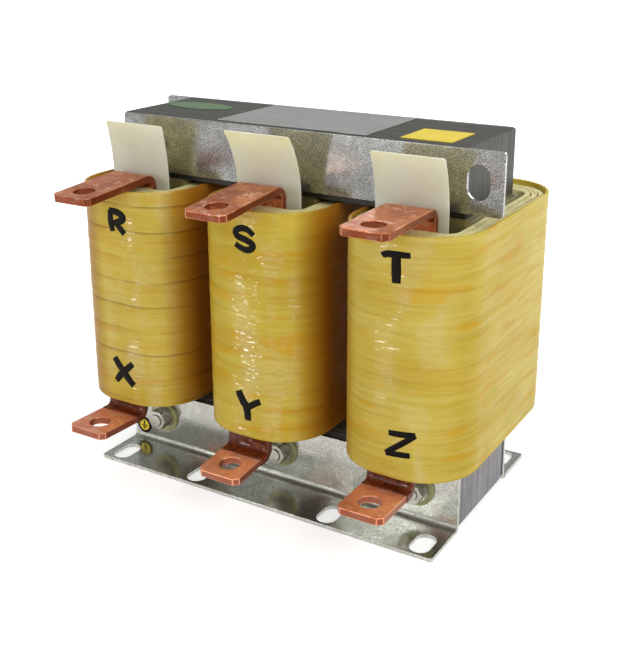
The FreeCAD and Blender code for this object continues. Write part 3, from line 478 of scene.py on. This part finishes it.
def turned(bm, angle):
    """The edges where two faces meet at more than an angle."""
    return [edge for edge in bm.edges if edge.is_manifold and edge.calc_face_angle() > angle]


def bevel(bm, geom, width, segments, affect="EDGES", clamp=True):
    """Bevels edges or corners by a width and gives the new faces."""
    made = bmesh.ops.bevel(bm, geom=geom, offset=width, offset_type="OFFSET", segments=segments,
                           profile=0.5, affect=affect, material=-1, clamp_overlap=clamp)
    return made["faces"]


def ease_edges(bm, width, segments=2):
    """Rounds every sharp edge; marks the new faces, for rubbed metal with a painted highlight, and
    those where the sheet was cut, along with the sideways faces, for a darker tone with painted
    shade.
    """
    worn_and_lit = bm.faces.layers.float.new("worn_and_lit_edge")
    cut = bm.faces.layers.float.new("cut_and_shaded_face")
    front = min(vertex.co.y for vertex in bm.verts)
    bm.normal_update()
    for face in bm.faces:
        at_front = face.calc_center_median().y < front + FRONT_DEPTH
        small = face.calc_area() < SMALL_CUT
        # Front and small faces are cut ends; faces turned sideways are marked for painted shade
        face[cut] = 1.0 if at_front or small or abs(face.normal.x) > 0.5 else 0.0
    for face in bevel(bm, turned(bm, SHARP), width, segments):
        face[worn_and_lit] = 1.0
        face[cut] = 0.0


def soften(node, name, material, width, hexagons=False):
    """A node's shape with eased edges; its flat faces stay flat."""
    bm = copy_of(node)
    if hexagons:
        chamfer_corners(bm, node)
    ease_edges(bm, width)
    piece = finish_piece(bm, name, [material], [node])
    flats = piece.modifiers.new("flat faces", "WEIGHTED_NORMAL")
    flats.weight = 100
    flats.keep_sharp = True


def islands(node):
    """The lowest and highest corners of each separate body of a node."""
    bm = copy_of(node)
    left = set(bm.verts)
    found = []
    while left:
        front = [left.pop()]
        members = list(front)
        while front:
            for edge in front.pop().link_edges:
                for vertex in edge.verts:
                    if vertex in left:
                        left.discard(vertex)
                        front.append(vertex)
                        members.append(vertex)
        low = Vector([min(vertex.co[i] for vertex in members) for i in range(3)])
        high = Vector([max(vertex.co[i] for vertex in members) for i in range(3)])
        found.append((low, high))
    bm.free()
    return found


def chamfer_corners(bm, node):
    """Takes the points off the corners of hexagon heads and nuts."""
    bodies = islands(node)
    centres = [(low + high) / 2 for low, high in bodies]
    reach = max(max(high.x - low.x, high.z - low.z) for low, high in bodies) / 2

    def from_axis(vertex):
        return min(math.hypot(vertex.co.x - c.x, vertex.co.z - c.z) for c in centres)

    corners = [vertex for vertex in bm.verts if from_axis(vertex) > CORNER_SHARE * reach]
    bevel(bm, corners, CORNER_CHAMFER, 1, "VERTICES")


def levels(bm):
    """The edges that lie level."""
    return [edge for edge in bm.edges if abs(edge.verts[0].co.z - edge.verts[1].co.z) < MM]


def uprights(bm):
    """The edges that stand upright."""
    return [edge for edge in bm.edges
            if abs(edge.verts[0].co.z - edge.verts[1].co.z) > 0.9 * edge.calc_length()]


def rounded_tube(middle, half_x, half_y, corner, low, high, segments):
    """An open upright wall round a rounded rectangle, facing outwards."""
    bm = bmesh.new()
    bmesh.ops.create_cube(bm, size=2.0)
    bmesh.ops.scale(bm, vec=(half_x, half_y, (high - low) / 2), verts=bm.verts)
    bmesh.ops.translate(bm, vec=(middle.x, middle.y, (low + high) / 2), verts=bm.verts)
    bm.normal_update()
    ends = [face for face in bm.faces if abs(face.normal.z) > 0.5]
    bmesh.ops.delete(bm, geom=ends, context="FACES_ONLY")
    bevel(bm, uprights(bm), corner, segments, clamp=False)
    return bm


def split_long(bm, edges, length):
    """Cuts each edge into parts no longer than length."""
    groups = {}
    for edge in edges:
        cuts = math.ceil(edge.calc_length() / length) - 1
        if cuts > 0:
            groups.setdefault(cuts, []).append(edge)
    for cuts, group in groups.items():
        bmesh.ops.subdivide_edges(bm, edges=group, cuts=cuts)


def pour(target, source):
    """Adds one bmesh to another."""
    carrier = bpy.data.meshes.new("carrier")
    source.to_mesh(carrier)
    source.free()
    target.from_mesh(carrier)
    bpy.data.meshes.remove(carrier)


def lumps(point, size, seed=0.0):
    """A soft random height, -1 to 1, that changes over a size."""
    return noise.noise(Vector((point.x / size + seed, point.y / size, point.z / size)))


# Coils

SHELL_CORNER = 34 * MM
SHELL_SEGMENTS = 18
SHELL_WALL = 2 * MM
RIM_WIDTH = 0.6 * MM
RIM_ANGLE = 1.2
TAPE_STEP = 0.2 * MM
TAPE_LUMP = 0.22 * MM
TAPE_LUMP_SIZE = 16 * MM
TAPE_SEED_STEP = 7.3
TAPE_ROWS = 1.6 * MM
TAPE_COLUMNS = 3 * MM
TAPE_PITCH = {"r": 16.5 * MM, "s": 12 * MM, "t": 9 * MM}
# How strongly each pattern shows on a coil's tape. Coat and soak are ranges in m from the
# coil's middle: towards the front where the glossy coat begins, and across where the painted
# brown shade of the left flank ends; the side amounts set that painted shade left and right.
TAPE_LOOKS = {
    "r": {"edge": 0.9, "run": 0.35, "fibre": 0.12, "pool": 0.35, "patch": 0.2, "rough": 0.3,
          "bumps": 0.42, "coat": (-0.06, -0.071),
          "low": paint(182, 154, 44), "high": paint(204, 180, 74), "pale": paint(212, 194, 104),
          "sides": (0.55, 0.85), "soak": (-0.021, -0.01), "start": (0.31, 0.17, 0.05)},
    "s": {"edge": 0.25, "run": 0.25, "fibre": 0.17, "pool": 0.5, "patch": 0.45, "rough": 0.2,
          "bumps": 0.65, "coat": (-0.066, -0.072),
          "low": paint(178, 150, 34), "high": paint(200, 176, 62), "pale": paint(210, 190, 88),
          "sides": (0.6, 0.85), "soak": (-0.038, -0.025), "start": (1.3, 0.4, 0.2)},
    "t": {"edge": 0.22, "run": 0.2, "fibre": 0.12, "pool": 0.35, "patch": 0.45, "rough": 0.2,
          "bumps": 0.4, "coat": (-0.064, -0.0715),
          "low": paint(184, 158, 46), "high": paint(204, 184, 82), "pale": paint(216, 200, 114),
          "sides": (0.65, 0.0), "soak": (-0.038, -0.025), "start": (2.7, 1.1, 0.6)},
}


def middle_of(node):
    """The middle of a node's box and half its size."""
    low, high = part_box(node)
    return (low + high) / 2, (high - low) / 2


def wrap_coil(phase):
    """The coil's tape: overlapping wraps that climb round it, and a rounded rim at each end."""
    node = f"tape_shell_{phase}"
    middle, half = middle_of(node)
    room = TAPE_STEP + TAPE_LUMP
    bm = rounded_tube(middle, half.x - room, half.y - room, SHELL_CORNER - room,
                      middle.z - half.z, middle.z + half.z, SHELL_SEGMENTS)
    split_long(bm, levels(bm), TAPE_COLUMNS)
    split_long(bm, uprights(bm), TAPE_ROWS)
    bm.normal_update()
    pitch = TAPE_PITCH[phase]
    seed = PHASES.index(phase) * TAPE_SEED_STEP
    for vertex in bm.verts:
        place = vertex.co - middle
        turn = place.z / pitch + math.atan2(place.x, -place.y) / (2 * math.pi)
        step = TAPE_STEP * (1 - turn % 1.0)
        lump = TAPE_LUMP * (0.5 + 0.5 * lumps(place, TAPE_LUMP_SIZE, seed))
        vertex.co += Vector((vertex.normal.x, vertex.normal.y, 0)).normalized() * (step + lump)
    shape = BVHTree.FromBMesh(bm)
    bmesh.ops.solidify(bm, geom=bm.faces, thickness=SHELL_WALL)
    bm.normal_update()
    bevel(bm, turned(bm, RIM_ANGLE), RIM_WIDTH, 2)
    tape = make_tape(phase, middle, pitch, TAPE_LOOKS[phase])
    finish_piece(bm, f"tape_wraps_{phase}", [tape], [node])
    return shape


WINDING_BUILD = (12.7 * MM, 14.8 * MM)
WINDING_CORNER = (8 * MM, 27.7 * MM)
WINDING_SEGMENTS = 10
PAPER_BANDS = ((0.0, 0.267), (0.367, 0.633), (0.733, 1.0))
SHEETS_PER_BAND = 3
SHEET_SHARE = 0.74
SHEET_COLUMNS = 9 * MM
SHEET_SETBACK = 0.9 * MM
SHEET_WAVE = 0.5 * MM
SHEET_WAVE_SIZE = 11 * MM


def stack_sheets(phase, material):
    """Each ring of paper as single sheets that stand a little unevenly above the foil."""
    node = f"winding_paper_{phase}"
    middle, half = middle_of(node)
    build_x, build_y = WINDING_BUILD
    first_corner, last_corner = WINDING_CORNER
    stack = bmesh.new()
    for low, high in PAPER_BANDS:
        step = (high - low) / SHEETS_PER_BAND
        for number in range(SHEETS_PER_BAND):
            share = low + step * (number + SHEET_SHARE)
            # Each sheet of each coil takes a value of its own from the noise
            setback = SHEET_SETBACK * (0.5 + noise.noise((share * 37, middle.x * 90, 0)))
            sheet = rounded_tube(middle, half.x - (1 - share) * build_x,
                                 half.y - (1 - share) * build_y,
                                 first_corner + share * (last_corner - first_corner),
                                 middle.z - half.z, middle.z + half.z - setback,
                                 WINDING_SEGMENTS)
            split_long(sheet, levels(sheet), SHEET_COLUMNS)
            for vertex in sheet.verts:
                if vertex.co.z > middle.z:
                    wave = 0.5 + 0.5 * lumps(vertex.co, SHEET_WAVE_SIZE, share * 50)
                    vertex.co.z -= SHEET_WAVE * wave
            bmesh.ops.solidify(sheet, geom=sheet.faces, thickness=step * SHEET_SHARE * build_x)
            pour(stack, sheet)
    finish_piece(stack, f"winding_sheets_{phase}", [material], [node],
                 crease=50)


# Letters

# For each letter its box in mm, as left, right, low and high, and its strokes: a width in mm
# and points from 0 to 1 across and up the box
LETTERS = {
    "r": ((-102.0, -86.6, 165.6, 183.4),
          [(4.8, [(0.08, 0.98), (0.06, 0.62), (0.1, 0.3), (0.16, 0.04)]),
           (5.0, [(0.02, 0.96), (0.5, 0.95), (0.92, 0.78), (0.86, 0.56), (0.3, 0.42)]),
           (5.0, [(0.42, 0.44), (0.62, 0.26), (0.94, 0.0)])]),
    "s": ((-6.0, 10.8, 169.6, 185.4),
          [(4.3, [(0.96, 0.72), (0.76, 0.98), (0.3, 1.02), (0.0, 0.8), (0.14, 0.56), (0.62, 0.46),
                  (1.0, 0.28), (0.84, 0.02), (0.4, -0.04), (0.04, 0.2)])]),
    "t": ((90.6, 110.2, 165.4, 185.6),
          [(4.0, [(0.0, 0.86), (0.1, 0.94), (0.5, 0.96), (1.02, 0.99)]),
           (6.6, [(0.52, 0.9), (0.52, 0.5), (0.54, 0.02)])]),
    "x": ((-105.0, -86.8, 62.6, 82.8),
          [(6.0, [(0.0, 1.0), (0.3, 0.66), (0.62, 0.34), (1.0, 0.0)]),
           (5.2, [(1.0, 0.9), (0.56, 0.54), (0.24, 0.3), (0.04, 0.04)])]),
    "y": ((-5.9, 12.9, 60.5, 82.1),
          [(6.0, [(0.0, 1.0), (0.16, 0.66), (0.4, 0.48), (0.42, 0.0)]),
           (4.8, [(1.0, 0.78), (0.7, 0.66), (0.4, 0.44)])]),
    "z": ((94.6, 116.0, 63.2, 81.6),
          [(4.4, [(0.12, 0.9), (0.5, 0.93), (1.0, 1.0)]),
           (4.2, [(1.0, 0.98), (0.5, 0.5), (0.02, 0.06)]),
           (4.2, [(0.02, 0.04), (0.4, 0.1), (0.84, 0.14)])]),
}
STROKE_MARGIN = 1.6
STROKE_RISE = 0.16
STROKE_WOBBLE = 0.16
STROKE_END = 0.82
END_ROUND = 0.7 * MM
END_ANGLE = 1.0
RAY_START = -0.3
RAGGED = 0.12 * MM
RAGGED_SIZE = 1.3 * MM


def draw_strokes(letter):
    """The letter's strokes as round bars that lie upright in the plane y = 0."""
    (left, right, low, high), strokes = LETTERS[letter]
    line = bpy.data.curves.new(f"mark_{letter}", "CURVE")
    line.dimensions = "3D"
    line.bevel_depth = 1.0
    line.bevel_resolution = 3
    line.resolution_u = 10
    line.use_fill_caps = True
    for width, points in strokes:
        spline = line.splines.new("NURBS")
        spline.points.add(len(points) - 1)
        for number, (across, up) in enumerate(points):
            x = left + STROKE_MARGIN + across * (right - left - 2 * STROKE_MARGIN)
            z = low + STROKE_MARGIN + up * (high - low - 2 * STROKE_MARGIN)
            spline.points[number].co = (x * MM, 0, z * MM, 1)
            wobble = 1 + STROKE_WOBBLE * noise.noise((x * 0.7, z * 0.7, width))
            pressure = STROKE_END if number in (0, len(points) - 1) else 1
            spline.points[number].radius = width / 2 * MM * wobble * pressure
        spline.order_u = 3
        spline.use_endpoint_u = True
    carrier = bpy.data.objects.new("carrier", line)
    drawn = bpy.data.meshes.new_from_object(carrier)
    bm = bmesh.new()
    bm.from_mesh(drawn)
    bpy.data.objects.remove(carrier)
    bpy.data.curves.remove(line)
    bpy.data.meshes.remove(drawn)
    bmesh.ops.remove_doubles(bm, verts=bm.verts, dist=MERGE)
    return bm


def brush_letter(letter, shape, material):
    """A letter painted by hand: its strokes pressed flat on the front of its coil."""
    bm = draw_strokes(letter)
    bevel(bm, turned(bm, END_ANGLE), END_ROUND, 3)
    for vertex in bm.verts:
        hit = shape.ray_cast(Vector((vertex.co.x, RAY_START, vertex.co.z)),
                             Vector((0, 1, 0)))[0]
        ragged = RAGGED * lumps(vertex.co, RAGGED_SIZE, 3.0)
        vertex.co = Vector((vertex.co.x + ragged, hit.y + vertex.co.y * STROKE_RISE,
                            vertex.co.z + ragged))
    bmesh.ops.recalc_face_normals(bm, faces=bm.faces)
    finish_piece(bm, f"letter_{letter}", [material], crease=60)


# Lower bars' varnish

VARNISH_TOP = 51.6 * MM
VARNISH_FRONT = {"x": -66.0 * MM, "y": -67.0 * MM, "z": -65.5 * MM}
VARNISH_COAT = 0.5 * MM
VARNISH_EDGE = 0.8 * MM
VARNISH_MESH = 2.5 * MM
VARNISH_LUMP = 5 * MM


def coat_bar(letter, material):
    """Varnish that ran down over the bend of a lower bar."""
    bm = copy_of(f"terminal_{letter}")
    above = ((0, 0, VARNISH_TOP), (0, 0, 1))
    ahead = ((0, VARNISH_FRONT[letter], 0), (0, -1, 0))
    for spot, way in (above, ahead):
        whole = bm.verts[:] + bm.edges[:] + bm.faces[:]
        bmesh.ops.bisect_plane(bm, geom=whole, plane_co=spot, plane_no=way, clear_outer=True)
        rim = [edge for edge in bm.edges if edge.is_boundary]
        bmesh.ops.edgeloop_fill(bm, edges=rim)
    ease_edges(bm, VARNISH_EDGE, 3)
    split_long(bm, bm.edges[:], VARNISH_MESH)
    bmesh.ops.triangulate(bm, faces=bm.faces)
    bm.normal_update()
    for vertex in bm.verts:
        swell = VARNISH_COAT * (1 + 0.7 * lumps(vertex.co, VARNISH_LUMP, 2.0))
        vertex.co += vertex.normal * swell
    finish_piece(bm, f"bar_varnish_{letter}", [material], crease=60)


# Earth sign

SIGN_RELIEF = 0.08 * MM
SIGN_RIM = 0.3
SIGN_STROKES = (((0, 0.27), (0.09, 0.3)), ((0, -0.04), (0.42, 0.06)),
                ((0, -0.24), (0.29, 0.06)), ((0, -0.44), (0.16, 0.06)))


def make_earth_sign(black, yellow):
    """A disc with a black rim, a yellow field and the common sign for protective earth.

    Each stroke of the sign is given by its middle and half its size, in radii of the disc.
    """
    middle, half = middle_of("earth_label")
    radius = half.x
    bm = bmesh.new()
    toward_front = Matrix.Translation(middle) @ Matrix.Rotation(math.pi / 2, 4, "X")
    bmesh.ops.create_cone(bm, cap_ends=True, segments=48, radius1=radius, radius2=radius,
                          depth=2 * half.y, matrix=toward_front)
    bm.normal_update()
    front = [face for face in bm.faces if face.normal.y < -0.9]
    bmesh.ops.inset_region(bm, faces=front, thickness=SIGN_RIM * radius)
    for face in front:
        face.material_index = 1
    for (across, up), (half_wide, half_high) in SIGN_STROKES:
        made = bmesh.ops.create_cube(bm, size=2.0)
        bmesh.ops.scale(bm, vec=(half_wide * radius, SIGN_RELIEF, half_high * radius),
                        verts=made["verts"])
        bmesh.ops.translate(bm, vec=(middle.x + across * radius, middle.y - half.y,
                                     middle.z + up * radius), verts=made["verts"])
    finish_piece(bm, "earth_sign", [black, yellow], ["earth_label"])


# Assembly

SHEET_EDGE = 0.35 * MM
BAR_EDGE = 0.45 * MM
PLATE_EDGE = 0.15 * MM
NUT_EDGE = 0.25 * MM

steel = make_core_steel("laminated_steel", paint(32, 32, 26), paint(70, 69, 59), 0.5)
# Painted light: a lighter copy of the core steel for the lower yoke, for the light the pale floor
# throws up on it
floor_lit_steel = make_core_steel("floor_lit_laminations", paint(96, 94, 98), paint(160, 156, 160))
angle_zinc = make_galvanised("galvanised_angle", paint(146, 147, 136), paint(226, 227, 222), 0.17)
# Painted shade: a darker copy of the galvanised sheet for the top plates, for the darker
# surroundings they mirror
shaded_plate_zinc = make_galvanised("galvanised_plate", paint(100, 100, 98), paint(206, 206, 202), 0.18)
zinc = make_zinc()
washer_epoxy = make_glass_epoxy("washer_laminate", paint(184, 184, 128), paint(138, 138, 84), 0.3)
former_epoxy = make_glass_epoxy("former_laminate", paint(128, 118, 70), paint(84, 74, 38), 0.1)
board = make_black_board()
paper = make_sheet_edges("paper_sheets", paint(246, 238, 184), paint(222, 212, 146),
                         paint(190, 176, 96))
packing = make_sheet_edges("end_boards", paint(224, 220, 170), paint(184, 178, 116),
                           paint(150, 138, 66))
foil = make_foil()
copper = make_copper("bare_copper", paint(210, 126, 80), paint(166, 86, 48))
# Painted light: a lighter copy of the copper for the lower bars, which the coils above them shade
lit_copper = make_copper("lit_copper", paint(250, 172, 138), paint(220, 132, 98))
cream = make_flag_sheet()
plate = make_plate_metal()
yellow = make_film("yellow_film", paint(236, 210, 8), paint(226, 196, 2))
green = make_film("green_film", paint(66, 104, 58), paint(82, 116, 72))
black_paint = make_brush_paint()
brown_varnish = make_bar_varnish()

CARRIED = {
    "lower_yoke": floor_lit_steel, "upper_yoke": steel, "gap_pads": washer_epoxy,
    "insulation_strips_lower": board, "insulation_strips_upper": board,
    "insulating_washers": washer_epoxy, "flat_washers": zinc, "bolt_sleeves": former_epoxy,
    "square_label": yellow, "oval_label": green,
}
for phase in PHASES:
    CARRIED[f"leg_blocks_{phase}"] = steel
    CARRIED[f"former_{phase}"] = former_epoxy
    CARRIED[f"winding_foil_{phase}"] = foil
    CARRIED[f"end_packing_{phase}"] = packing
    CARRIED[f"duct_sticks_{phase}"] = former_epoxy
    CARRIED[f"flag_{phase}"] = cream
for node, material in CARRIED.items():
    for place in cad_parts[node].material_slots:
        place.material = material

for side in ("front", "back"):
    soften(f"lower_bracket_{side}", f"lower_angle_{side}", angle_zinc,
           SHEET_EDGE)
    soften(f"upper_bracket_{side}", f"upper_plate_{side}", shaded_plate_zinc,
           SHEET_EDGE)
for letters, metal in (("rst", copper), ("xyz", lit_copper)):
    for letter in letters:
        soften(f"terminal_{letter}", f"copper_bar_{letter}", metal, BAR_EDGE)
soften("rating_plate", "blank_plate", plate, PLATE_EDGE)
soften("hex_nuts", "nuts", zinc, NUT_EDGE, hexagons=True)
soften("through_bolts", "bolts", zinc, NUT_EDGE, hexagons=True)
make_earth_sign(black_paint, yellow)

for phase in PHASES:
    coil = wrap_coil(phase)
    stack_sheets(phase, paper)
    for letter in (phase, LOWER_LETTER[phase]):
        brush_letter(letter, coil, black_paint)
    coat_bar(LOWER_LETTER[phase], brown_varnish)


# Floor, light and camera

WHITE = (1, 1, 1, 1)
FLOOR_RADIUS = 6.0
FLOOR_DROP = 0.2 * MM
FLOOR_GLOW = 0.52
GLOW_RISE = (0.3, 1.2)
TOWARD_CAMERA = (0.51, -0.86, 0)
MIRRORED_FADE = (0.2, 0.36)
WORLD_LIGHT = 0.45


def make_floor():
    """A pale floor that looks white, with a soft shadow near the reactor.

    It glows for the camera, and in mirrors too except in front of the reactor, where the
    photograph's metal stays darker.
    """
    bm = bmesh.new()
    bmesh.ops.create_circle(bm, cap_ends=True, segments=64, radius=FLOOR_RADIUS)
    mesh = bpy.data.meshes.new("floor")
    bm.to_mesh(mesh)
    bm.free()
    floor = bpy.data.objects.new("floor", mesh)
    floor.location.z = -FLOOR_DROP
    bpy.context.scene.collection.objects.link(floor)
    finish = Finish("pale_floor", Base_Color=paint(222, 222, 222), Roughness=0.9,
                    Specular_IOR_Level=0.0, Emission_Color=WHITE)
    ray = finish.add("ShaderNodeLightPath", {}).outputs
    far = finish.add("ShaderNodeVectorMath", {0: finish.place((1, 1, 0))}, operation="LENGTH")
    glow = finish.span(far.outputs["Value"], *GLOW_RISE, FLOOR_GLOW, 1.0)
    ahead = finish.add("ShaderNodeVectorMath", {0: finish.place(), 1: TOWARD_CAMERA},
                       operation="DOT_PRODUCT")
    mirrored = finish.work("MAXIMUM", ray["Is Glossy Ray"], ray["Is Transmission Ray"])
    fading = finish.span(ahead.outputs["Value"], *MIRRORED_FADE, 1.0, 0.0)
    seen = finish.work("MAXIMUM", ray["Is Camera Ray"], finish.times(mirrored, fading))
    finish.wire("Emission Strength", finish.times(seen, glow))
    mesh.materials.append(finish.material)


def make_world():
    """Soft light from all round; seen directly or through a sheet, it is plain white."""
    world = bpy.data.worlds.new("studio")
    bpy.context.scene.world = world
    world.use_nodes = True
    tree = world.node_tree
    light = tree.nodes["Background"]
    light.inputs["Color"].default_value = WHITE
    light.inputs["Strength"].default_value = WORLD_LIGHT
    backdrop = tree.nodes.new("ShaderNodeBackground")
    backdrop.inputs["Color"].default_value = WHITE
    ray = tree.nodes.new("ShaderNodeLightPath").outputs
    seen = tree.nodes.new("ShaderNodeMath")
    seen.operation = "MAXIMUM"
    pick = tree.nodes.new("ShaderNodeMixShader")
    for source, target in (
            (ray["Is Camera Ray"], seen.inputs[0]), (ray["Is Transmission Ray"], seen.inputs[1]),
            (seen.outputs[0], pick.inputs[0]), (light.outputs[0], pick.inputs[1]),
            (backdrop.outputs[0], pick.inputs[2]),
            (pick.outputs[0], tree.nodes["World Output"].inputs["Surface"])):
        tree.links.new(source, target)


def add_lamp(name, place, wide, high, power, target=(0, 0, 0.12)):
    """A rectangular lamp that looks at a target, mostly the middle of the reactor."""
    lamp = bpy.data.lights.new(name, "AREA")
    lamp.shape = "RECTANGLE"
    lamp.size = wide
    lamp.size_y = high
    lamp.energy = power
    holder = bpy.data.objects.new(name, lamp)
    holder.location = place
    holder.rotation_euler = (Vector(target) - Vector(place)).to_track_quat("-Z", "Y").to_euler()
    bpy.context.scene.collection.objects.link(holder)


CAMERA_PLACE = (0.336306, -0.535151, 0.344094)
CAMERA_RIGHT = (0.85877, 0.51236, -0.000511)
CAMERA_UP = (-0.150502, 0.25321, 0.955633)
CAMERA_BACK = (0.489758, -0.820592, 0.29456)
FILM_WIDTH = 36
LENS_LENGTH = 57.884
LENS_SHIFT = -0.1006
CLOSEST, FARTHEST = 0.01, 50


def make_camera():
    """The camera at the photograph's place."""
    lens = bpy.data.cameras.new("camera")
    lens.sensor_width = FILM_WIDTH
    lens.lens = LENS_LENGTH
    lens.shift_y = LENS_SHIFT
    lens.clip_start = CLOSEST
    lens.clip_end = FARTHEST
    holder = bpy.data.objects.new("camera", lens)
    axes = Matrix((CAMERA_RIGHT, CAMERA_UP, CAMERA_BACK)).transposed().to_4x4()
    holder.matrix_world = Matrix.Translation(CAMERA_PLACE) @ axes
    bpy.context.scene.collection.objects.link(holder)
    bpy.context.scene.camera = holder


make_floor()
make_world()
add_lamp("key", (1.45, -0.68, 1.2), wide=1.1, high=1.1, power=19.5)
add_lamp("front_strip", (-1.02, -2.04, 0.45), wide=0.25, high=0.8, power=11)
add_lamp("back_fill", (0.6, 1.7, 0.9), wide=1.0, high=1.0, power=9)
add_lamp("front_soft", (-0.74, -2.1, 1.35), wide=0.5, high=0.6, power=3.5)
add_lamp("top", (-0.3, 0.4, 1.6), wide=1.2, high=1.2, power=8, target=(0, 0, 0.2))
make_camera()
bpy.context.scene.view_settings.view_transform = "Standard"
